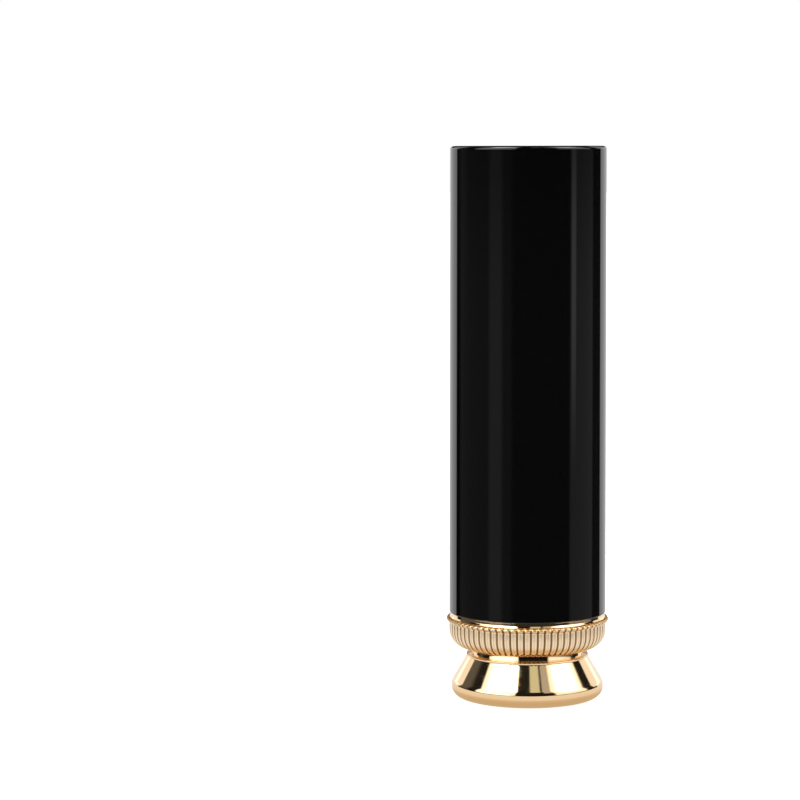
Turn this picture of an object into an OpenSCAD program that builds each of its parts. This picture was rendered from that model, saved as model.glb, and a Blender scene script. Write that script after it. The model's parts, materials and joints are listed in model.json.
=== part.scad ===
// Lipstick case: a glossy drafted cap over a gold base, with a twist-up mechanism inside.
// Frame: +Z up, origin at the centre of the foot's underside, millimetres.
// The base stands still. The sleeve turns about Z, its two-start groove drives the lugs of the
// bullet cup, and the guide tube's slots keep the cup from turning, so the cup only rises.

/* [Cap] */
// Height of the closed case
total_h = 73.8; // [73:0.1:80]
// Diameter of the cap at its open end
cap_d = 21; // [20.8:0.1:21.2]
// How much the cap's wall leans in over its whole height
cap_draft = 0.12; // [0:0.02:0.25]
// Radius of the cap's top edge
cap_edge_r = 0.4; // [0.2:0.1:0.8]
// Thickness of the cap's closed end
cap_end_t = 1.35; // [1:0.05:1.8]
// Height at which the cap's rim sits
cap_seat_z = 11.6; // [11.5:0.1:12]
// Thickness of the inner cap
liner_wall = 0.83; // [0.5:0.01:0.85]
// Number of upright grip ribs inside the inner cap
grip_count = 6; // [3:1:12]

/* [Foot] */
// Widest diameter of the foot
foot_d = 20.34; // [20:0.02:20.8]
// Height of the ledge on top of the flare
ledge_z = 5.9; // [5.8:0.05:6]
// Diameter of the ledge
ledge_d = 16.4; // [16.3:0.1:16.7]
// Diameter of the neck where it stands on the ledge
neck_d = 14.9; // [14.6:0.1:15]
// Diameter of the neck where it goes into the collar
neck_top_d = 14.5; // [14:0.1:14.5]
// Diameter of the opening under the foot
foot_opening_d = 16.2; // [15.8:0.1:16.3]

/* [Collar] */
// Diameter over the ribs
collar_d = 21.06; // [20.9:0.02:21.2]
// Height of the collar's underside
collar_bottom_z = 6.75; // [6.65:0.05:6.85]
// Radius of the rounded underside
bowl_r = 2.4; // [2:0.1:2.5]
// Number of ribs round the collar
rib_count = 72; // [48:4:80]
// Width of the groove between two ribs
rib_groove_w = 0.24; // [0.15:0.01:0.35]
// Depth of the groove between two ribs
rib_groove_depth = 0.26; // [0.1:0.02:0.4]
// Diameter over the ribs' round heads
head_d = 21.76; // [21.4:0.02:21.9]
// Height of the middle of the heads
head_z = 10.62; // [10.58:0.02:10.66]
// Half the height of a head
head_half_h = 0.38; // [0.34:0.02:0.4]

/* [Band] */
// Diameter of the polished band where it meets the ribs' heads
band_d = 20.84; // [20.7:0.02:20.9]
// Diameter of the band where its slope turns upright
band_turn_d = 20.56; // [20.5:0.02:20.6]
// Height of that turn
band_turn_z = 11.24; // [11.2:0.02:11.3]
// Diameter of the band's upper edge
band_top_d = 20.48; // [20.3:0.02:20.5]

/* [Mechanism] */
// Diameter of the lipstick
bullet_d = 12; // [11.9:0.1:12.1]
// Length of the lipstick
bullet_l = 35; // [30:1:35]
// How far the cup rises
travel = 24; // [18:1:24]
// Turns of the sleeve for the whole rise
turns = 1.5; // [1.25:0.25:2]
// Height of the bullet cup
cup_h = 13; // [10:1:13]
// Diameter of the gold sleeve
sleeve_d = 17; // [16.9:0.1:17]
// Wall of the gold sleeve
sleeve_wall = 0.35; // [0.3:0.01:0.35]
// Height of the gold sleeve's top edge
sleeve_top_z = 46; // [46:0.5:48]
// Diameter of the two lugs on the cup
lug_d = 2; // [1.6:0.1:2]

/* [Hidden] */
$fn = 96;

// Fits
press_gap = 0.02;     // between parts that are pressed together
run_gap = 0.07;       // between parts that turn or slide on each other
free_gap = 0.12;      // round the sleeve, which turns clear of the trim ring and the inner cap
axial_gap = 0.2;      // end play of the turning sleeve
arc_steps = 12;       // points on a rounded edge of an outline
bowl_steps = 6;       // points on the ribbed bowl's outline, on each groove's floor and on a head

// Cap
cap_r = cap_d / 2;
cap_top_r = cap_r - cap_draft;
rim_edge = 0.15;
sleeve_r = sleeve_d / 2;
liner_in_r = sleeve_r + free_gap;
liner_out_r = liner_in_r + liner_wall;
cap_bore_r = liner_out_r + press_gap;
cap_bore_top_z = total_h - cap_end_t;
liner_bottom_z = cap_seat_z + 0.5;
liner_end_t = 0.7;
liner_top_z = cap_bore_top_z - press_gap;
grip_r = 0.4;
grip_proud = free_gap - 0.03;
grip_z = [liner_bottom_z + 4, sleeve_top_z - 8];

// Foot, as an outline from the rounded bottom edge up the flare to the ledge
foot_r = foot_d / 2;
foot_round = [1.6, 1.35];         // half-axes of the rounded bottom edge
flare_low_r = 1.3;                // convex blend above the widest place
flare_low_angle = 32;             // how far that blend turns
widest_z = 1.75;
ledge_r = ledge_d / 2;
ledge_rim_t = 0.25;               // thickness of the ledge's thin rim, which is proud of the flare
ledge_rim_proud = 0.1;
ledge_edge = 0.1;
neck_r = neck_d / 2;
neck_top_r = neck_top_d / 2;
neck_wall = 0.5;
neck_bore_r = neck_top_r - neck_wall;
foot_opening_r = foot_opening_d / 2;
foot_pocket_r = 7.75;
foot_pocket_z = [2.4, 4.4];
ledge_t = 0.8;

// Collar and band
collar_r = collar_d / 2;
collar_top_z = head_z + head_half_h;
bowl_c = [collar_r - bowl_r, collar_bottom_z + bowl_r];
web_t = 1.1;
web_top_z = collar_bottom_z + web_t;
collar_bore_r = 9.3;
neck_top_z = web_top_z - 0.1;
head_c = [collar_r - 0.12, head_z];
head_axes = [head_d / 2 - head_c[0], head_half_h];
head_start = -asin(0.95);         // where a head's outline leaves the rib, as an angle
band_top_z = cap_seat_z - 0.1;
seat_r = 10.1;
ring_skirt_in_r = 8.95;
ring_skirt_bottom_z = web_top_z + 1;

// Guide tube
bullet_r = bullet_d / 2;
cup_bore_r = bullet_r + 0.05;
cup_r = cup_bore_r + 0.45;
guide_bore_r = cup_r + 0.1;
guide_r = guide_bore_r + 0.65;
flange_r = 8.8;
flange_z = [web_top_z + press_gap, web_top_z + 0.7];
guide_floor_top_z = flange_z[1] + 0.1;
stem_r = 4.98;
stem_bore_r = 3.6;
stem_bottom_z = 2;
guide_top_z = sleeve_top_z - 0.75;
snap_r = guide_r + 0.25;
snap_z = [guide_top_z - 0.8, guide_top_z - 0.3];
slot_w = lug_d + 0.2;

// Cup and lugs
cup_bottom_z = guide_floor_top_z + 0.4;
cup_floor_t = 0.8;
vent_r = 1.2;
lug_z = cup_bottom_z + 3.3;
lug_r = lug_d / 2;
lug_tip_r = guide_r + 0.5;
slot_z = [lug_z - lug_r - 0.3, lug_z + travel + lug_r + 0.3];

// Sleeve with its spiral
sleeve_bottom_z = flange_z[1] + axial_gap;
sleeve_bore_r = sleeve_r - sleeve_wall;
lip_r = cup_r + 0.25;
lip_t = 0.4;
spiral_r = sleeve_bore_r - press_gap;
spiral_bore_r = guide_r + run_gap;
spiral_top_z = sleeve_top_z - lip_t - 0.1;
snap_recess_z = snap_z[0] - 0.2;
snap_recess_r = snap_r + 0.1;
lead = travel / turns;
groove_r = lug_tip_r + 0.13;
groove_axial_w = lug_d + 0.4;
groove_half_angle = 180 * groove_axial_w / lead;
groove_z = [lug_z - 1.5, lug_z + travel + 1.5];
groove_slice_angle = 7;
groove_arc_steps = 6;

// Drag rings, in shallow grooves round the guide tube
drag_w = 1.2;
drag_in_r = guide_r - 0.28;
drag_seat_r = drag_in_r - press_gap;
drag_out_r = spiral_bore_r - press_gap;
lower_drag_z = sleeve_bottom_z + 0.5;
upper_drag_z = slot_z[1] + 2;

// Lipstick: a round-ended stick with one slanted face
bullet_bottom_z = cup_bottom_z + cup_floor_t + press_gap;
bullet_top_z = bullet_bottom_z + bullet_l;
slant_front_z = bullet_top_z - 10.5;
slant_back_y = 2.5;

// Base
liner_socket_r = stem_r + press_gap;
liner_tube_r = 6.2;
liner_flange_r = 7.7;
liner_bottom_ring_z = 1.4;
liner_plug_r = neck_bore_r - press_gap;
weight_in_r = liner_tube_r + 0.05;
weight_gap = 0.1;
cover_r = foot_opening_r - press_gap;
cover_t = 1.3;
cover_edge = 0.12;
label_r = 6.4;
label_t = 0.12;
label_recess = 0.2;

function arc(c, r, a0, a1, steps = arc_steps) =
    [for (i = [0 : steps]) let (a = a0 + (a1 - a0) * i / steps) c + r * [cos(a), sin(a)]];
function oval(c, axes, a0, a1, steps = arc_steps) =
    [for (i = [0 : steps]) let (a = a0 + (a1 - a0) * i / steps)
        c + [axes[0] * cos(a), axes[1] * sin(a)]];

// The foot: a rounded edge, a convex blend, a straight flare and the ledge's thin rim
function foot_outline() = concat(
    oval([foot_r - foot_round[0], foot_round[1]], foot_round, -90, 0),
    arc([foot_r - flare_low_r, widest_z], flare_low_r, 0, flare_low_angle),
    [[ledge_r - ledge_rim_proud, ledge_z - ledge_rim_t],
     [ledge_r, ledge_z - ledge_rim_t + ledge_edge / 2]],
    arc([ledge_r - ledge_edge, ledge_z - ledge_edge], ledge_edge, 0, 90));

module turned(points) {
    rotate_extrude() polygon(points);
}

// A tube between two radii and two heights
module tube(r_in, r_out, z0, z1) {
    turned([[r_in, z0], [r_out, z0], [r_out, z1], [r_in, z1]]);
}

module cap_shell() {
    color([0.02, 0.02, 0.02]) turned(concat(
        [[cap_bore_r, cap_seat_z], [cap_r - rim_edge, cap_seat_z], [cap_r, cap_seat_z + rim_edge]],
        arc([cap_top_r - cap_edge_r, total_h - cap_edge_r], cap_edge_r, 0, 90),
        [[0, total_h], [0, cap_bore_top_z], [cap_bore_r, cap_bore_top_z]]));
}

module cap_liner() {
    color([0.9, 0.9, 0.88]) {
        turned([[liner_in_r, liner_bottom_z], [liner_out_r, liner_bottom_z],
            [liner_out_r, liner_top_z], [0, liner_top_z],
            [0, liner_top_z - liner_end_t], [liner_in_r, liner_top_z - liner_end_t]]);
        for (i = [0 : grip_count - 1]) rotate(i * 360 / grip_count)
            translate([liner_in_r + grip_r - grip_proud, 0, grip_z[0]])
                cylinder(r = grip_r, h = grip_z[1] - grip_z[0]);
    }
}

module sleeve_shell() {
    color([0.93, 0.78, 0.55]) turned(concat(
        [[sleeve_bore_r, sleeve_bottom_z], [sleeve_r, sleeve_bottom_z]],
        arc([sleeve_r - lip_t, sleeve_top_z - lip_t], lip_t, 0, 90),
        [[lip_r, sleeve_top_z], [lip_r, sleeve_top_z - lip_t],
         [sleeve_bore_r, sleeve_top_z - lip_t]]));
}

// One helical groove, wider than the lug by its clearance
module spiral_groove() {
    groove_h = groove_z[1] - groove_z[0];
    twist_angle = 360 * groove_h / lead;
    start_angle = 360 * (groove_z[0] - lug_z) / lead;
    inner_r = spiral_bore_r - 0.2;
    translate([0, 0, groove_z[0]]) rotate(start_angle)
        linear_extrude(height = groove_h, twist = -twist_angle,
            slices = ceil(twist_angle / groove_slice_angle), segments = 1)
            polygon(concat(
                [for (i = [0 : groove_arc_steps])
                    let (a = groove_half_angle * (2 * i / groove_arc_steps - 1))
                    groove_r * [cos(a), sin(a)]],
                [for (a = [groove_half_angle, 0, -groove_half_angle])
                    inner_r * [cos(a), sin(a)]]));
}

module spiral_sleeve() {
    color([0.92, 0.92, 0.9]) difference() {
        tube(spiral_bore_r, spiral_r, sleeve_bottom_z, spiral_top_z);
        tube(spiral_bore_r - 1, snap_recess_r, snap_recess_z, spiral_top_z + 1);
        for (a = [0, 180]) rotate(a) spiral_groove();
    }
}

module guide_tube() {
    slot_h = slot_z[1] - slot_z[0];
    color([0.88, 0.88, 0.86]) difference() {
        turned([[stem_bore_r, stem_bottom_z], [stem_r, stem_bottom_z], [stem_r, flange_z[0]],
            [flange_r, flange_z[0]], [flange_r, flange_z[1]], [guide_r, flange_z[1]],
            [guide_r, snap_z[0]], [snap_r, snap_z[0]], [snap_r, snap_z[1]],
            [guide_r, guide_top_z], [guide_bore_r, guide_top_z],
            [guide_bore_r, guide_floor_top_z], [stem_bore_r, guide_floor_top_z]]);
        translate([-guide_r - 1, -slot_w / 2, slot_z[0]])
            cube([2 * (guide_r + 1), slot_w, slot_h]);
        for (z = [lower_drag_z, upper_drag_z])
            tube(drag_seat_r, guide_r + 1, z - press_gap, z + drag_w + press_gap);
    }
}

module drag_ring(z) {
    color([0.75, 0.2, 0.15]) tube(drag_in_r, drag_out_r, z, z + drag_w);
}

module lower_drag_ring() {
    drag_ring(lower_drag_z);
}

module upper_drag_ring() {
    drag_ring(upper_drag_z);
}

module bullet_cup() {
    color([0.95, 0.95, 0.93]) {
        tube(vent_r, cup_r, cup_bottom_z, cup_bottom_z + cup_floor_t);
        tube(cup_bore_r, cup_r, cup_bottom_z, cup_bottom_z + cup_h);
        for (a = [0, 180]) rotate(a) translate([cup_bore_r + 0.1, 0, lug_z]) rotate([0, 90, 0])
            cylinder(r = lug_r, h = lug_tip_r - cup_bore_r - 0.1);
    }
}

module lipstick_bullet() {
    dome_z = bullet_top_z - bullet_r;
    slant_angle = atan2(bullet_top_z - slant_front_z, bullet_r + slant_back_y);
    color([0.62, 0.05, 0.08]) difference() {
        union() {
            translate([0, 0, bullet_bottom_z]) cylinder(r = bullet_r, h = dome_z - bullet_bottom_z);
            translate([0, 0, dome_z]) sphere(r = bullet_r);
        }
        translate([0, -bullet_r, slant_front_z]) rotate([slant_angle, 0, 0])
            translate([-2 * bullet_r, -bullet_l, 0]) cube([4 * bullet_r, 2 * bullet_l, bullet_l]);
    }
}

module trim_ring() {
    color([0.93, 0.76, 0.5]) turned([
        [ring_skirt_in_r, ring_skirt_bottom_z],
        [collar_bore_r - press_gap, ring_skirt_bottom_z],
        [collar_bore_r - press_gap, collar_top_z], [band_d / 2, collar_top_z],
        [band_turn_d / 2, band_turn_z], [band_top_d / 2, band_top_z], [seat_r, band_top_z],
        [seat_r, cap_seat_z], [liner_in_r, cap_seat_z], [liner_in_r, collar_top_z],
        [ring_skirt_in_r, collar_top_z]]);
}

// Groove between two ribs, cut along the bowl and out through the gap between two heads, as a
// thin upright plate in the XZ plane
module rib_groove() {
    floor_r = bowl_r - rib_groove_depth;
    past = 1;
    rotate([90, 0, 0]) linear_extrude(height = rib_groove_w, center = true)
        polygon(concat(
            arc(bowl_c, floor_r, -70, 0, bowl_steps),
            [[bowl_c[0] + floor_r, head_z], [band_d / 2, collar_top_z + press_gap],
             [collar_r + past, collar_top_z + press_gap],
             [collar_r + past, collar_bottom_z - past],
             [bowl_c[0] + past, collar_bottom_z - past]]));
}

module knurled_collar() {
    color([0.93, 0.76, 0.5]) difference() {
        turned(concat(
            [[neck_top_r + press_gap, collar_bottom_z]],
            arc(bowl_c, bowl_r, -90, 0, bowl_steps),
            oval(head_c, head_axes, head_start, 90, bowl_steps),
            [[collar_bore_r, collar_top_z], [collar_bore_r, web_top_z],
             [neck_top_r + press_gap, web_top_z]]));
        for (i = [0 : rib_count - 1]) rotate((i + 0.5) * 360 / rib_count) rib_groove();
    }
}

module foot_shell() {
    color([0.93, 0.76, 0.5]) turned(concat(
        [[foot_opening_r, 0]],
        foot_outline(),
        [[neck_r, ledge_z], [neck_top_r, collar_bottom_z], [neck_top_r, neck_top_z],
         [neck_bore_r, neck_top_z],
         [neck_bore_r, ledge_z - ledge_t], [foot_pocket_r, ledge_z - ledge_t],
         [foot_pocket_r, foot_pocket_z[1]], [foot_opening_r, foot_pocket_z[0]]]));
}

module base_liner() {
    flange_top_z = ledge_z - ledge_t - press_gap;
    color([0.15, 0.15, 0.15]) turned([
        [liner_socket_r, liner_bottom_ring_z], [liner_tube_r, liner_bottom_ring_z],
        [liner_tube_r, foot_pocket_z[1]], [liner_flange_r, foot_pocket_z[1]],
        [liner_flange_r, flange_top_z], [liner_plug_r, flange_top_z],
        [liner_plug_r, neck_top_z], [liner_socket_r, neck_top_z]]);
}

module base_weight() {
    bottom_z = liner_bottom_ring_z;
    top_z = foot_pocket_z[1] - press_gap;
    color([0.55, 0.55, 0.57]) turned([
        [weight_in_r, bottom_z], [foot_opening_r - weight_gap, bottom_z],
        [foot_opening_r - weight_gap, foot_pocket_z[0]],
        [foot_pocket_r - weight_gap, top_z], [weight_in_r, top_z]]);
}

module bottom_cover() {
    color([0.08, 0.08, 0.08]) turned([
        [0, label_recess], [label_r + press_gap, label_recess], [label_r + press_gap, 0],
        [cover_r - cover_edge, 0], [cover_r, cover_edge], [cover_r, cover_t], [0, cover_t]]);
}

module shade_label() {
    color([0.9, 0.88, 0.82]) translate([0, 0, label_recess - label_t])
        cylinder(r = label_r, h = label_t - press_gap);
}

cap_shell();
cap_liner();
sleeve_shell();
spiral_sleeve();
guide_tube();
lower_drag_ring();
upper_drag_ring();
bullet_cup();
lipstick_bullet();
trim_ring();
knurled_collar();
foot_shell();
base_liner();
base_weight();
bottom_cover();
shade_label();
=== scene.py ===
"""Lipstick case: the finished surfaces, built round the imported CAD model. Metres, in the CAD's frame."""
import json
import math

import bmesh
import bpy
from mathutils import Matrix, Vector


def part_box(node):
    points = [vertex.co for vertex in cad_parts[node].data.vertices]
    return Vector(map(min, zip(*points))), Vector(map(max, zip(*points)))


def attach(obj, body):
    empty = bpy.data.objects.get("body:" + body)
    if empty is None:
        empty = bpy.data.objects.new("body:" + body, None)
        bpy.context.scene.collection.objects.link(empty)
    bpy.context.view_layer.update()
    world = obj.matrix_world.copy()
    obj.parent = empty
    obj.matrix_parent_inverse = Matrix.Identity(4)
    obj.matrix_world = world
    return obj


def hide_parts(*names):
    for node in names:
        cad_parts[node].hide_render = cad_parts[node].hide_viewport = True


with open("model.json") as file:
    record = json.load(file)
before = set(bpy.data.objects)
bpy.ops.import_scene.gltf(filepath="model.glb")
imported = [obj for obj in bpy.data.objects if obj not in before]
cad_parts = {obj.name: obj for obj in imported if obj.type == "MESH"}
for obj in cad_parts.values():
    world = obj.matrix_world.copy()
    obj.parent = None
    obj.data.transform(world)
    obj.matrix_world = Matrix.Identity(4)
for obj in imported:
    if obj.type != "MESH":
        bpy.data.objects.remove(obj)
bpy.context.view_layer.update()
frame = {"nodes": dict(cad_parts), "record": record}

MM = 0.001
SEGMENTS = 288          # round a turned piece
HOLD = 0.03             # mm from a rounded corner to the loop that keeps the straight stretch straight
ARC_STEP = 7.5          # degrees between points on a rounded corner
HIDDEN_STEP = 30        # the same, on corners inside the collar
RIBS = 72               # round the collar


# ---------------------------------------------------------------- outlines, in mm: (radius, height)

def arc(centre, radius, start, end, steps=12):
    """Points on an arc, angles in degrees; radius is one number or the two half-axes of an oval."""
    rx, rz = radius if isinstance(radius, tuple) else (radius, radius)
    angles = [math.radians(start + (end - start) * i / steps) for i in range(steps + 1)]
    return [(centre[0] + rx * math.cos(a), centre[1] + rz * math.sin(a)) for a in angles]


def rounded(corners, step=ARC_STEP):
    """A closed outline from (radius, height, rounding) corners, with holding points beside each rounding."""
    points = []
    count = len(corners)
    for i, (r, z, rounding) in enumerate(corners):
        here = Vector((r, z))
        before = Vector(corners[i - 1][:2]) - here
        after = Vector(corners[(i + 1) % count][:2]) - here
        if rounding <= 0:
            points.append((r, z))
            continue
        half = before.angle(after) / 2
        reach = rounding / math.tan(half)
        a, b = here + before.normalized() * reach, here + after.normalized() * reach
        middle = here + (before.normalized() + after.normalized()).normalized() * rounding / math.sin(half)
        va, vb = a - middle, b - middle
        turn = va.angle(vb)
        steps = max(3, math.ceil(math.degrees(turn) / step))
        if before.length > reach + 2 * HOLD:
            points.append(tuple(a + before.normalized() * HOLD))
        for k in range(steps + 1):
            t = k / steps
            w = (va * math.sin((1 - t) * turn) + vb * math.sin(t * turn)) / math.sin(turn)
            points.append(tuple(middle + w))
        if after.length > reach + 2 * HOLD:
            points.append(tuple(b + after.normalized() * HOLD))
    return points


# ---------------------------------------------------------------- meshes

def to_object(name, bm):
    """A smooth-shaded object from a bmesh, with its faces turned outwards."""
    bmesh.ops.recalc_face_normals(bm, faces=bm.faces)
    mesh = bpy.data.meshes.new(name)
    bm.to_mesh(mesh)
    bm.free()
    mesh.shade_smooth()
    obj = bpy.data.objects.new(name, mesh)
    bpy.context.scene.collection.objects.link(obj)
    return obj


def add_ring(bm, radius, height, segments, push=None):
    """One ring of vertices, or one vertex on the axis. push(angle) moves each radius and height, in mm."""
    if radius < 1e-6:
        return [bm.verts.new((0, 0, height * MM))]
    ring = []
    for i in range(segments):
        angle = 2 * math.pi * i / segments
        dr, dz = push(angle) if push else (0, 0)
        r = radius + dr
        ring.append(bm.verts.new((r * math.cos(angle) * MM, r * math.sin(angle) * MM, (height + dz) * MM)))
    return ring


def join_rings(bm, a, b):
    """Faces between two rings; either may be a single vertex."""
    count = max(len(a), len(b))
    for i in range(count):
        j = (i + 1) % count
        corners = [a[i % len(a)], a[j % len(a)], b[j % len(b)], b[i % len(b)]]
        bm.faces.new(list(dict.fromkeys(corners)))


def skin(bm, rings, closed=True):
    """Joins each ring to the next, and the last to the first if closed."""
    for a, b in zip(rings, rings[1:] + (rings[:1] if closed else [])):
        join_rings(bm, a, b)


def turn_outline(bm, outline, closed=True):
    """Turns an outline about Z. An open outline starts and ends on the axis."""
    skin(bm, [add_ring(bm, r, z, SEGMENTS) for r, z in outline], closed)


def lathe(name, outline, closed=True):
    bm = bmesh.new()
    turn_outline(bm, outline, closed)
    return to_object(name, bm)


def span(node):
    """Outer radius, bottom and top of a CAD node, in mm."""
    lo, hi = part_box(node)
    return hi.x / MM, lo.z / MM, hi.z / MM


# ---------------------------------------------------------------- materials

class Graph:
    """A node tree with short ways to add and join nodes."""

    def __init__(self, tree):
        self.tree = tree
        tree.nodes.clear()

    def add(self, kind, inputs=(), **settings):
        node = self.tree.nodes.new(kind)
        for key, value in settings.items():
            setattr(node, key, value)
        for key, value in dict(inputs).items():
            if isinstance(value, bpy.types.NodeSocket):
                self.tree.links.new(value, node.inputs[key])
            else:
                node.inputs[key].default_value = value
        return node

    def math(self, operation, *values):
        return self.add("ShaderNodeMath", enumerate(values), operation=operation).outputs[0]

    def ramp(self, value, low, high, to_low=0.0, to_high=1.0, kind="SMOOTHSTEP"):
        return self.add("ShaderNodeMapRange", {"Value": value, "From Min": low, "From Max": high,
                                               "To Min": to_low, "To Max": to_high},
                        interpolation_type=kind).outputs[0]

    def mix(self, share, a, b):
        node = self.add("ShaderNodeMix", data_type="RGBA")
        for socket, value in zip((node.inputs[0], node.inputs[6], node.inputs[7]), (share, a, b)):
            if isinstance(value, bpy.types.NodeSocket):
                self.tree.links.new(value, socket)
            else:
                socket.default_value = value
        return node.outputs[2]

    def noise(self, scale, detail=2.0, stretch=(1, 1, 1)):
        """Noise in the object's own coordinates, in features per metre, stretched along the axes."""
        place = self.add("ShaderNodeTexCoord").outputs["Object"]
        place = self.add("ShaderNodeMapping", {"Vector": place, "Scale": stretch}).outputs[0]
        inputs = {"Vector": place, "Scale": scale, "Detail": detail}
        return self.add("ShaderNodeTexNoise", inputs).outputs["Fac"]

    def bump(self, height, distance, strength=1.0):
        return self.add("ShaderNodeBump", {"Height": height, "Distance": distance,
                                           "Strength": strength}).outputs[0]


def material(name, shade):
    """A material whose Principled shader gets its inputs from shade(graph)."""
    made = bpy.data.materials.new(name)
    made.use_nodes = True
    graph = Graph(made.node_tree)
    shader = graph.add("ShaderNodeBsdfPrincipled", shade(graph))
    graph.add("ShaderNodeOutputMaterial", {"Surface": shader.outputs[0]})
    return made


def rgb(r, g, b):
    return (r, g, b, 1.0)


def gloss_black(g):
    haze = g.noise(900, 3)
    wave = g.noise(60, 1, (1, 1, 0.35))
    return {"Base Color": g.mix(haze, rgb(0.0008, 0.0008, 0.0008), rgb(0.0012, 0.0012, 0.0013)),
            "Roughness": g.ramp(haze, 0.3, 0.75, 0.025, 0.05),
            "IOR": 1.5,
            "Normal": g.bump(wave, 0.00002, 0.25)}


def polished_gold(g):
    haze = g.noise(700, 4)
    wave = g.noise(220, 1)
    return {"Base Color": g.mix(haze, rgb(0.935, 0.665, 0.385), rgb(0.96, 0.695, 0.415)),
            "Metallic": 1.0,
            "Roughness": g.ramp(haze, 0.3, 0.75, 0.05, 0.1),
            "Normal": g.bump(wave, 0.00001, 0.3)}


BOWL_SHADE_FADE = (0.0070, 0.0082)      # m, heights between which the painted shade under the bowl ends
HEAD_SHADE_FADE = (0.01062, 0.01072)    # m, and the painted shade on top of the heads begins
LIP_FADE = (0.0101, 0.0104)       # m, and the lip's rougher finish begins


def ribbed_gold(g):
    """Gold with painted shade, darker in the grooves, under the bowl and on the ribs' heads, and a painted
    reflection that makes each rib lighter on its flanks than on its crest.
    """
    haze = g.noise(1500, 3)
    place = g.add("ShaderNodeTexCoord").outputs["Object"]
    x, y, z = g.add("ShaderNodeSeparateXYZ", {"Vector": place}).outputs
    turns = g.math("MULTIPLY", g.math("ARCTAN2", y, x), RIBS / (2 * math.pi))
    across = g.math("ABSOLUTE", g.math("MULTIPLY_ADD", g.math("FRACT", turns), 2.0, -1.0))
    # painted reflection: each rib darker on its crest and lighter on its flanks
    crest = g.mix(g.ramp(across, 0.1, 0.45), rgb(0.86, 0.64, 0.42), rgb(1.0, 0.80, 0.57))
    # painted shade: the grooves darker
    groove = g.ramp(across, 0.56, 0.82)
    body = g.mix(groove, crest, rgb(0.30, 0.16, 0.045))
    # painted shade under the bowl, darker still in its grooves
    under = g.mix(groove, rgb(0.92, 0.64, 0.31), rgb(0.34, 0.17, 0.04))
    low = g.mix(g.ramp(z, *BOWL_SHADE_FADE), under, body)
    # painted shade on top of the ribs' heads
    tone = g.mix(g.ramp(z, *HEAD_SHADE_FADE), low, rgb(0.66, 0.38, 0.14))
    rough = g.ramp(haze, 0.3, 0.75, 0.1, 0.15)
    lip_rough = g.math("MULTIPLY", g.ramp(z, *LIP_FADE), 0.28)
    return {"Base Color": g.mix(g.ramp(haze, 0.3, 0.75, 0.0, 0.06), tone, rgb(0.7, 0.5, 0.3)),
            "Metallic": 1.0,
            "Roughness": g.math("ADD", rough, lip_rough)}


def anodised_gold(g):
    lines = g.noise(260, 3, (1, 1, 40))
    return {"Base Color": g.mix(lines, rgb(0.96, 0.69, 0.38), rgb(1.0, 0.76, 0.45)),
            "Metallic": 1.0,
            "Roughness": g.ramp(lines, 0.3, 0.75, 0.28, 0.38),
            "Normal": g.bump(lines, 0.000006, 0.35)}


def plastic(low, high, rough, grain=1800, depth=0.00001, **more):
    """A moulded plastic with a slight mottle and a fine moulded grain."""
    def shade(g):
        mottle = g.noise(140, 3)
        fine = g.noise(grain, 2)
        return {"Base Color": g.mix(mottle, rgb(*low), rgb(*high)),
                "Roughness": g.ramp(fine, 0.3, 0.75, rough - 0.05, rough + 0.08),
                "Normal": g.bump(fine, depth, 0.4), **more}
    return shade


def wax(g):
    mottle = g.noise(380, 4)
    fine = g.noise(2600, 2)
    return {"Base Color": g.mix(mottle, rgb(0.20, 0.004, 0.010), rgb(0.26, 0.007, 0.015)),
            "Roughness": g.ramp(fine, 0.3, 0.75, 0.34, 0.46),
            "Subsurface Weight": 0.08,
            "Subsurface Radius": (0.0012, 0.0004, 0.0003),
            "Subsurface Scale": 1.0,
            "Normal": g.bump(fine, 0.000012, 0.35)}


def turned_steel(g):
    lines = g.noise(300, 3, (1, 1, 24))
    return {"Base Color": g.mix(lines, rgb(0.44, 0.44, 0.46), rgb(0.58, 0.58, 0.6)),
            "Metallic": 1.0,
            "Roughness": g.ramp(lines, 0.3, 0.75, 0.28, 0.42),
            "Normal": g.bump(lines, 0.00001, 0.5)}


def paper(g):
    fibre = g.noise(1200, 5)
    return {"Base Color": g.mix(fibre, rgb(0.80, 0.77, 0.70), rgb(0.88, 0.86, 0.80)),
            "Roughness": g.ramp(fibre, 0.3, 0.75, 0.62, 0.8),
            "Normal": g.bump(fibre, 0.00001, 0.5)}


FINISHES = {
    "cap_gloss": gloss_black,
    "base_gold": polished_gold,
    "collar_gold": ribbed_gold,
    "sleeve_gold": anodised_gold,
    "liner_plastic": plastic((0.78, 0.78, 0.76), (0.88, 0.88, 0.86), 0.38),
    "mechanism_plastic": plastic((0.80, 0.80, 0.78), (0.9, 0.9, 0.88), 0.42),
    "drag_silicone": plastic((0.72, 0.70, 0.66), (0.82, 0.80, 0.76), 0.5),
    "cup_plastic": plastic((0.86, 0.86, 0.84), (0.94, 0.94, 0.92), 0.35),
    "lipstick_wax": wax,
    "base_plastic": plastic((0.022, 0.022, 0.022), (0.034, 0.034, 0.034), 0.45, 3200, 0.00002),
    "weight_steel": turned_steel,
    "label_paper": paper,
}
MATERIALS = {slot: material(slot, shade) for slot, shade in FINISHES.items()}
SLOT_OF = {part["node"]: part["material_slot"] for part in frame["record"]["subparts"]}


def finish_piece(obj, body, *nodes):
    """The piece stands for these CAD nodes, rides with their body and takes their finish."""
    slot = SLOT_OF[nodes[0]]
    obj.data.materials.append(MATERIALS[slot])
    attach(obj, body)
    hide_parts(*nodes)
    return obj


# ---------------------------------------------------------------- cap

CLEAR = 0.02            # mm, between a piece and the one inside it


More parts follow.
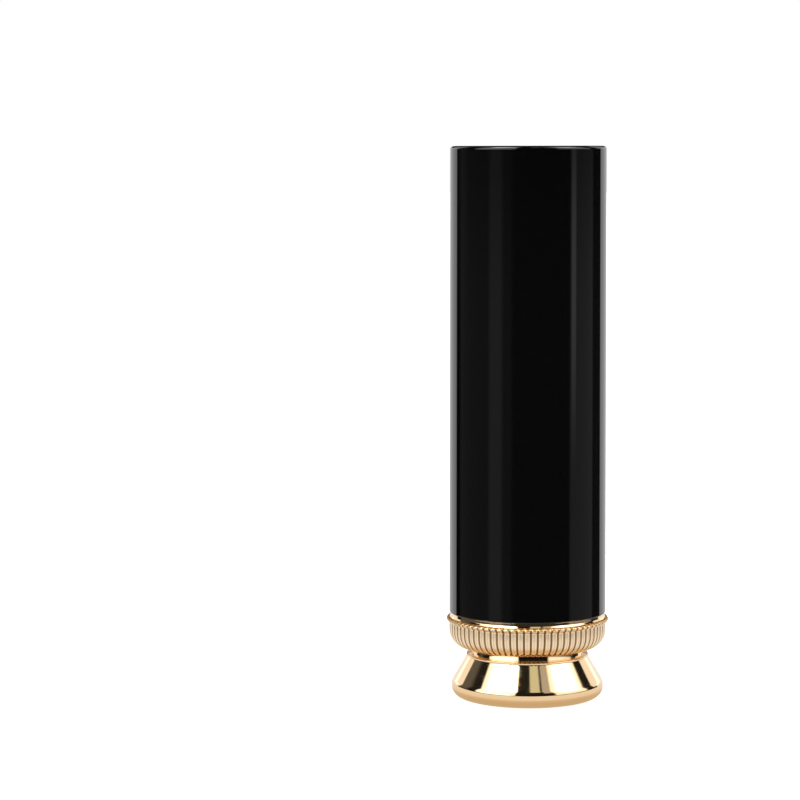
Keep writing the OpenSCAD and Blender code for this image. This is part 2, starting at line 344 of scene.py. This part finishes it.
def make_cap():
    rim_r, bottom, top = span("cap_shell")
    liner_r, _, liner_top = span("cap_liner")
    draft, top_round, rim_round = 0.12, 0.45, 0.04
    bore_r, bore_top = liner_r + CLEAR, liner_top + CLEAR
    outline = rounded([
        (0, top, 0), (rim_r - draft, top, top_round), (rim_r, bottom, rim_round),
        (bore_r, bottom, 0.1), (bore_r, bore_top, 0.3), (0, bore_top, 0)])
    finish_piece(lathe("cap", outline, closed=False), "cap", "cap_shell")


# ---------------------------------------------------------------- base

def make_foot():
    """Rounded low edge, hollow flare up to a thin rim, ledge and neck, then the inside back down."""
    wide_r, _, neck_top = span("foot_shell")
    round_r, round_h = 1.6, 1.35                    # the edge it stands on
    low_r, low_turn, wide_z = 1.3, 32, 1.75         # the blend from its widest place into the flare
    ledge_r, ledge_z, ledge_t = 8.2, 5.9, 0.8
    rim_t, rim_proud, rim_step = 0.25, 0.1, 0.03    # the ledge's thin rim, proud of the flare
    neck_r, neck_top_r, collar_z = 7.4, 7.26, 6.75
    neck_step = 0.12                                # upright before the neck's draft begins
    bore_r = neck_top_r - 0.5
    opening_r, opening_top, pocket_r, pocket_z = 8.1, 2.4, 7.75, 4.4
    low = arc((wide_r - low_r, wide_z), low_r, 0, low_turn, 10)
    end, rim = Vector(low[-1]), Vector((ledge_r - rim_proud, ledge_z - rim_t))
    hold = (rim - end).normalized() * HOLD
    outer = arc((wide_r - round_r, round_h), (round_r, round_h), -90, 0, 16) + low
    outer += [tuple(end + hold), tuple(rim - hold), tuple(rim)]
    inner = rounded([
        (ledge_r, ledge_z - rim_t + rim_step, 0.05), (ledge_r, ledge_z, 0.1),
        (neck_r, ledge_z, 0.03), (neck_r, ledge_z + neck_step, 0.05), (neck_top_r, collar_z, 0),
        (neck_top_r, neck_top, 0.1), (bore_r, neck_top, 0.1),
        (bore_r, ledge_z - ledge_t, 0.1), (pocket_r, ledge_z - ledge_t, 0.2), (pocket_r, pocket_z, 0),
        (opening_r, opening_top, 0), (opening_r, 0, 0.1), (wide_r - round_r, 0, 0)])
    finish_piece(lathe("foot", outer + inner[:-1]), "base", "foot_shell")


RIB_SAMPLES = 14         # points across one rib
RIB_DEPTH = 0.26         # mm
RIB_POWER = 2.3          # 2 is a half-round rib, more is fuller
RIB_R = 10.53            # mm, over the ribs below their heads
LIP_TOP, LIP_WIDE, LIP_START = 10.9, 10.58, 10.12    # mm, heights of the lip that the ribs' heads form
LIP_ROOT_R, DIP_R = 10.43, 10.68                     # mm, its upper edge, and its reach between two heads
DIP_DROP = 0.07                                      # mm, how much lower the lip is between two heads
BOWL_STEPS, RIB_END_STEPS, LIP_STEPS = 33, 4, 12


def rib_across(angle):
    """Place across a rib: 0 on its crest, 1 in the groove."""
    return abs(2 * ((angle * RIBS / (2 * math.pi)) % 1.0) - 1)


def rib_rise(angle):
    """Height of a rib above its groove, from 0 to 1."""
    return math.sqrt(max(0.0, 1 - rib_across(angle) ** RIB_POWER))


def swell(z, below, reach, top):
    """Radius of the lip: it swells from the rib below it and rounds in to its upper edge."""
    if z > LIP_WIDE:
        up = (z - LIP_WIDE) / (top - LIP_WIDE)
        return LIP_ROOT_R + (reach - LIP_ROOT_R) * math.sqrt(max(0.0, 1 - up ** 2))
    share = min(1.0, max(0.0, (z - LIP_START) / (LIP_WIDE - LIP_START)))
    return below + (reach - below) * share * share * (3 - 2 * share)


def make_collar():
    """A ribbed bowl; each rib ends at the top in a round head, and the heads run together into a lip."""
    head_r, bottom, _ = span("knurled_collar")
    bowl_r = 2.4
    centre = (RIB_R - bowl_r, bottom + bowl_r)
    bore_r, web_top = 9.3, bottom + 1.1
    neck_bore = 7.27
    segments = RIBS * RIB_SAMPLES
    bm = bmesh.new()
    rings = []

    def ribbed(r, z, normal, depth):
        def push(angle):
            drop = depth * (rib_rise(angle) - 1)
            return drop * normal[0], drop * normal[1]
        rings.append(add_ring(bm, r, z, segments, push))

    for i in range(BOWL_STEPS + 1):
        a = math.radians(-90 + 90 * i / BOWL_STEPS)
        normal = (math.cos(a), math.sin(a))
        depth = RIB_DEPTH * min(1.0, i / RIB_END_STEPS)
        ribbed(centre[0] + bowl_r * normal[0], centre[1] + bowl_r * normal[1], normal, depth)
    for z in (centre[1] + 0.35, centre[1] + 0.7, LIP_START - HOLD):
        ribbed(RIB_R, z, (1, 0), RIB_DEPTH)
    steps = [i / LIP_STEPS for i in range(LIP_STEPS + 1)]
    heights = [LIP_START + (LIP_WIDE - LIP_START) * t for t in steps[:-1]]
    heights += [LIP_WIDE + (LIP_TOP - LIP_WIDE) * math.sin(math.pi / 2 * t) for t in steps]
    for z in heights:
        crest = swell(z, RIB_R, head_r, LIP_TOP)
        dip = swell(z, RIB_R - RIB_DEPTH, DIP_R, LIP_TOP - DIP_DROP)
        ribbed(crest, z, (1, 0), crest - dip)
    for r, z in rounded([(bore_r, LIP_TOP, 0.05), (bore_r, web_top, 0.1), (neck_bore, web_top, 0.05),
                         (neck_bore, bottom, 0.05)], HIDDEN_STEP):
        rings.append(add_ring(bm, r, z, segments))
    skin(bm, rings)
    finish_piece(to_object("collar", bm), "base", "knurled_collar")


def make_band():
    """The polished band between the ribs' heads and the cap's rim, with its seat and its inner skirt."""
    _, bottom, top = span("trim_ring")
    low_r, shelf_z = 10.45, LIP_TOP
    turn, edge = (10.31, 11.14), (10.3, top - 0.1)    # where the band turns upright, and its top edge
    seat_r, seat_in, skirt_out, skirt_in = 10.1, 8.62, 9.28, 8.95
    finish_piece(lathe("band", rounded([
        (low_r, shelf_z, 0.02), turn + (0.1,), edge + (0.04,), (seat_r, edge[1], 0.02), (seat_r, top, 0.04),
        (seat_in, top, 0.08), (seat_in, shelf_z, 0.05), (skirt_in, shelf_z, 0.05),
        (skirt_in, bottom, 0.1), (skirt_out, bottom, 0.1), (skirt_out, shelf_z, 0.05)])),
        "base", "trim_ring")


def make_bottom():
    cover_r, bottom, top = span("bottom_cover")
    label_r, label_bottom, label_top = span("shade_label")
    recess_r, recess_z = label_r + CLEAR, label_top + CLEAR
    outline = rounded([
        (0, recess_z, 0), (recess_r, recess_z, 0.05), (recess_r, bottom, 0.08),
        (cover_r, bottom, 0.12), (cover_r, top, 0.1), (0, top, 0)])
    finish_piece(lathe("underside", outline, closed=False), "base", "bottom_cover")
    outline = rounded([(0, label_bottom, 0), (label_r, label_bottom, 0.03), (label_r, label_top, 0.03),
                       (0, label_top, 0)])
    finish_piece(lathe("label", outline, closed=False), "base", "shade_label")


# ---------------------------------------------------------------- sleeve, cup and lipstick

def make_sleeve():
    out_r, bottom, top = span("sleeve_shell")
    bore_r = out_r - 0.35
    lip_r, lip_t = 6.75, 0.4
    outline = rounded([
        (bore_r, bottom, 0.08), (out_r, bottom, 0.1), (out_r, top, 0.39), (lip_r, top, 0.12),
        (lip_r, top - lip_t, 0.12), (bore_r, top - lip_t, 0.1)])
    finish_piece(lathe("sleeve", outline), "sleeve", "sleeve_shell")


def make_cup():
    lo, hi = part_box("bullet_cup")
    bottom, top, tip_r = lo.z / MM, hi.z / MM, hi.x / MM
    out_r, bore_r, vent_r, floor_t = 6.5, 6.05, 1.2, 0.8
    lug_z, lug_r, lug_root = bottom + 3.3, 1.0, bore_r + 0.2
    bm = bmesh.new()
    turn_outline(bm, rounded([
        (out_r, bottom, 0.2), (out_r, top, 0.18), (bore_r, top, 0.18), (bore_r, bottom + floor_t, 0.2),
        (vent_r, bottom + floor_t, 0.1), (vent_r, bottom, 0.1)]))
    add_lugs(bm, lug_z, lug_r, lug_root, tip_r)
    finish_piece(to_object("cup", bm), "carrier", "bullet_cup")


def add_lugs(bm, z, radius, start, end, sides=48, edge=0.15):
    """The two round lugs along X that run in the groove, each with a rounded tip."""
    for side in (-1, 1):
        sections = [(start, radius), (end - edge, radius)]
        sections += [(end - edge + edge * math.sin(math.radians(a)),
                      radius - edge + edge * math.cos(math.radians(a))) for a in (20, 40, 60, 80, 90)]
        circle = [2 * math.pi * i / sides for i in range(sides)]
        rings = [[bm.verts.new((side * x * MM, r * math.cos(t) * MM, (z + r * math.sin(t)) * MM))
                  for t in circle] for x, r in sections]
        skin(bm, rings, closed=False)
        bm.faces.new(rings[0])
        bm.faces.new(rings[-1])


def make_lipstick():
    """A round-ended stick; what lies above the slanted plane is pressed down onto it with a soft edge."""
    stick_r, bottom, top = span("lipstick_bullet")
    dome_z = top - stick_r
    slant_low_z, slant_back_y = top - 10.5, 2.5
    low = Vector((0, -stick_r, slant_low_z))
    up_slope = (Vector((0, slant_back_y, top)) - low).normalized()
    normal = Vector((0, -up_slope.z, up_slope.y))
    soft = 0.35
    foot_round, side_z, rows = 0.3, bottom + 0.4, 120
    outline = [(0, bottom), (stick_r - 2 * foot_round, bottom)]
    outline += arc((stick_r - foot_round, bottom + foot_round), foot_round, -90, 0, 6)
    outline += [(stick_r, side_z + (dome_z - side_z) * i / rows) for i in range(rows)]
    outline += arc((0, dome_z), stick_r, 0, 89, 60) + [(0, top)]
    bm = bmesh.new()
    turn_outline(bm, outline, closed=False)
    for v in bm.verts:
        above = (v.co / MM - low).dot(normal)
        if above > -soft:
            kept = 0.0 if above > soft else -((soft - above) ** 2) / (4 * soft)
            v.co += normal * (kept - above) * MM
    finish_piece(to_object("lipstick", bm), "carrier", "lipstick_bullet")


def finish_cad_nodes():
    """The CAD nodes that stay shown get the procedural finish of their slot."""
    for name, node in frame["nodes"].items():
        if node.hide_render:
            continue
        node.data.materials.clear()
        node.data.materials.append(MATERIALS[SLOT_OF[name]])


# ---------------------------------------------------------------- studio

FLOOR_R = 4.0
MIRRORED_R = 0.072      # how far out the pale floor shows in the polished base
MIRRORED_Z = -0.0001


def floor_finish(g):
    grain = g.noise(40, 2)
    return {"Base Color": g.mix(grain, rgb(0.86, 0.86, 0.86), rgb(0.88, 0.88, 0.88)),
            "Roughness": 0.9,
            "Specular IOR Level": 0.0,
            "Emission Color": rgb(1, 1, 1),
            "Emission Strength": 0.7}


def mirrored_finish(g):
    """Light that only the shiny parts see, with a painted contact shadow and painted gold bounce: a little
    darker and warmer close to the gold foot.
    """
    place = g.add("ShaderNodeTexCoord").outputs["Object"]
    distance = g.add("ShaderNodeVectorMath", {0: place}, operation="LENGTH").outputs["Value"]
    return {"Base Color": rgb(0, 0, 0),
            "Specular IOR Level": 0.0,
            "Emission Color": g.mix(g.ramp(distance, 0.0105, 0.019), rgb(1.0, 0.86, 0.68), rgb(1, 1, 1)),
            "Emission Strength": g.ramp(distance, 0.0095, 0.016, 0.62, 0.89)}


def make_disc(name, radius, z, finish):
    bm = bmesh.new()
    rings = [add_ring(bm, r / MM, z / MM, 96) for r in (0, radius)]
    join_rings(bm, *rings)
    disc = to_object(name, bm)
    if disc.data.polygons[0].normal.z < 0:
        disc.data.flip_normals()
    disc.data.materials.append(finish)
    return disc


def make_floor():
    """The floor that is seen, and a small disc just under it that only the shiny parts mirror."""
    floor = make_disc("floor", FLOOR_R, 0, material("floor", floor_finish))
    floor.visible_glossy = False
    mirrored = make_disc("floor_mirrored", MIRRORED_R, MIRRORED_Z, material("floor_mirrored", mirrored_finish))
    mirrored.visible_camera = mirrored.visible_diffuse = mirrored.visible_shadow = False


def make_world():
    """Soft panels all round, by azimuth from the front (right is positive) and elevation, in degrees."""
    world = bpy.data.worlds.new("studio")
    bpy.context.scene.world = world
    world.use_nodes = True
    g = Graph(world.node_tree)
    direction = g.add("ShaderNodeTexCoord").outputs["Generated"]
    x, y, z = g.add("ShaderNodeSeparateXYZ", {"Vector": direction}).outputs
    azimuth = g.math("DEGREES", g.math("ARCTAN2", x, g.math("MULTIPLY", y, -1.0)))
    elevation = g.math("DEGREES", g.math("ARCSINE", z))
    behind = g.math("ABSOLUTE", azimuth)

    def window(value, low, high, soft):
        rise = g.ramp(value, low - soft, low + soft)
        fall = g.ramp(value, high - soft, high + soft, 1.0, 0.0)
        return g.math("MULTIPLY", rise, fall)

    total = None
    for value, low, high, soft, floor, ceiling, feather, strength, tint in PANELS:
        across = window(behind if value == "behind" else azimuth, low, high, soft)
        share = g.math("MULTIPLY", across, window(elevation, floor, ceiling, feather))
        lit = g.add("ShaderNodeVectorMath", {0: tuple(strength * c for c in tint), "Scale": share},
                    operation="SCALE").outputs[0]
        total = lit if total is None else g.add("ShaderNodeVectorMath", {0: total, 1: lit},
                                                operation="ADD").outputs[0]
    lights = g.add("ShaderNodeBackground", {"Color": total}).outputs[0]
    backdrop = g.add("ShaderNodeBackground", {"Color": rgb(1, 1, 1)}).outputs[0]
    to_camera = g.add("ShaderNodeLightPath").outputs["Is Camera Ray"]
    surface = g.add("ShaderNodeMixShader", {0: to_camera, 1: lights, 2: backdrop}).outputs[0]
    g.add("ShaderNodeOutputWorld", {"Surface": surface})


WHITE = (1.0, 1.0, 1.0)
# (azimuth or distance from the front, low, high, softness, lowest, highest, softness, strength, tint)
PANELS = [
    ("azimuth", -200, -132, 1.5, -12, 10, 2, 1.0, WHITE),      # white backdrop behind the case, left
    ("azimuth", 130, 200, 1.5, -12, 10, 2, 1.0, WHITE),        # and right
    ("azimuth", -152, -127, 1.5, 6, 38, 3, 1.0, WHITE),        # its raised left side
    ("azimuth", 119, 152, 1.5, 6, 38, 3, 1.0, WHITE),          # its raised right side
    ("azimuth", -88, -21, 1.5, 3, 72, 2, 1.4, WHITE),          # left softbox
    ("azimuth", -78, -46, 8, 24, 68, 5, 2.0, WHITE),           # its bright middle
    ("azimuth", -72, -26, 6, 44, 58, 3, 10.0, WHITE),          # its lamp
    ("azimuth", 42, 101, 2.5, 3, 72, 2, 1.3, WHITE),           # right softbox
    ("azimuth", 56, 92, 8, 24, 68, 5, 2.0, WHITE),             # its bright middle
    ("azimuth", 52, 96, 6, 44, 58, 3, 4.5, WHITE),             # its lamp
    ("azimuth", 26, 44, 2, 30, 66, 3, 0.48, WHITE),             # its dim inner edge
    ("azimuth", 3, 22, 2, 42, 66, 3, 0.7, (0.95, 1.0, 0.8)),   # thin card in front
    ("azimuth", -130, -107, 6, 2, 60, 8, 0.10, WHITE),         # dim wall on the left
    ("azimuth", -82, -28, 4, 3, 16, 2, 1.2, WHITE),            # low edge of the left softbox
    ("azimuth", -200, 200, 1, 6, 74, 6, 0.014, WHITE),         # stray light
    ("azimuth", -61, -41, 4, -14, 0, 4, 0.16, WHITE),          # faint glow on the left
    ("azimuth", -120, -26, 5, -14, 0, 4, 0.095, WHITE),        # room on the left
    ("azimuth", -26, 130, 8, -14, 0, 4, 0.03, WHITE),          # room in front
    ("azimuth", 64, 72, 1.5, -5, 0, 2, 0.45, WHITE),           # thin bright edge on the right
    ("azimuth", 62, 107, 3, -14, 0, 4, 0.2, WHITE),            # faint glow on the right
    ("azimuth", -200, 200, 1, -100, -18, 4, 0.6, WHITE),       # pale ground
    ("behind", 60, 200, 10, 72, 100, 4, 0.3, WHITE),           # overhead, to the rear
]

CAMERA_DISTANCE = 0.370
CAMERA_LEFT = 0.017
CAMERA_TILT = 5.225      # degrees down
CAMERA_ROLL = 0.11
CAMERA_LENS = 125.2
CAMERA_ABOVE_TOP = 0.00005


def make_camera():
    top = span("cap_shell")[2] * MM
    data = bpy.data.cameras.new("camera")
    data.lens = CAMERA_LENS
    data.sensor_width = 36.0
    camera = bpy.data.objects.new("camera", data)
    camera.location = (-CAMERA_LEFT, -CAMERA_DISTANCE, top + CAMERA_ABOVE_TOP)
    camera.rotation_euler = (math.radians(90 - CAMERA_TILT), math.radians(CAMERA_ROLL), 0)
    bpy.context.scene.collection.objects.link(camera)
    bpy.context.scene.camera = camera


make_cap()
make_foot()
make_collar()
make_band()
make_bottom()
make_sleeve()
make_cup()
make_lipstick()
finish_cad_nodes()
make_floor()
make_world()
make_camera()
bpy.context.scene.view_settings.view_transform = "Standard"
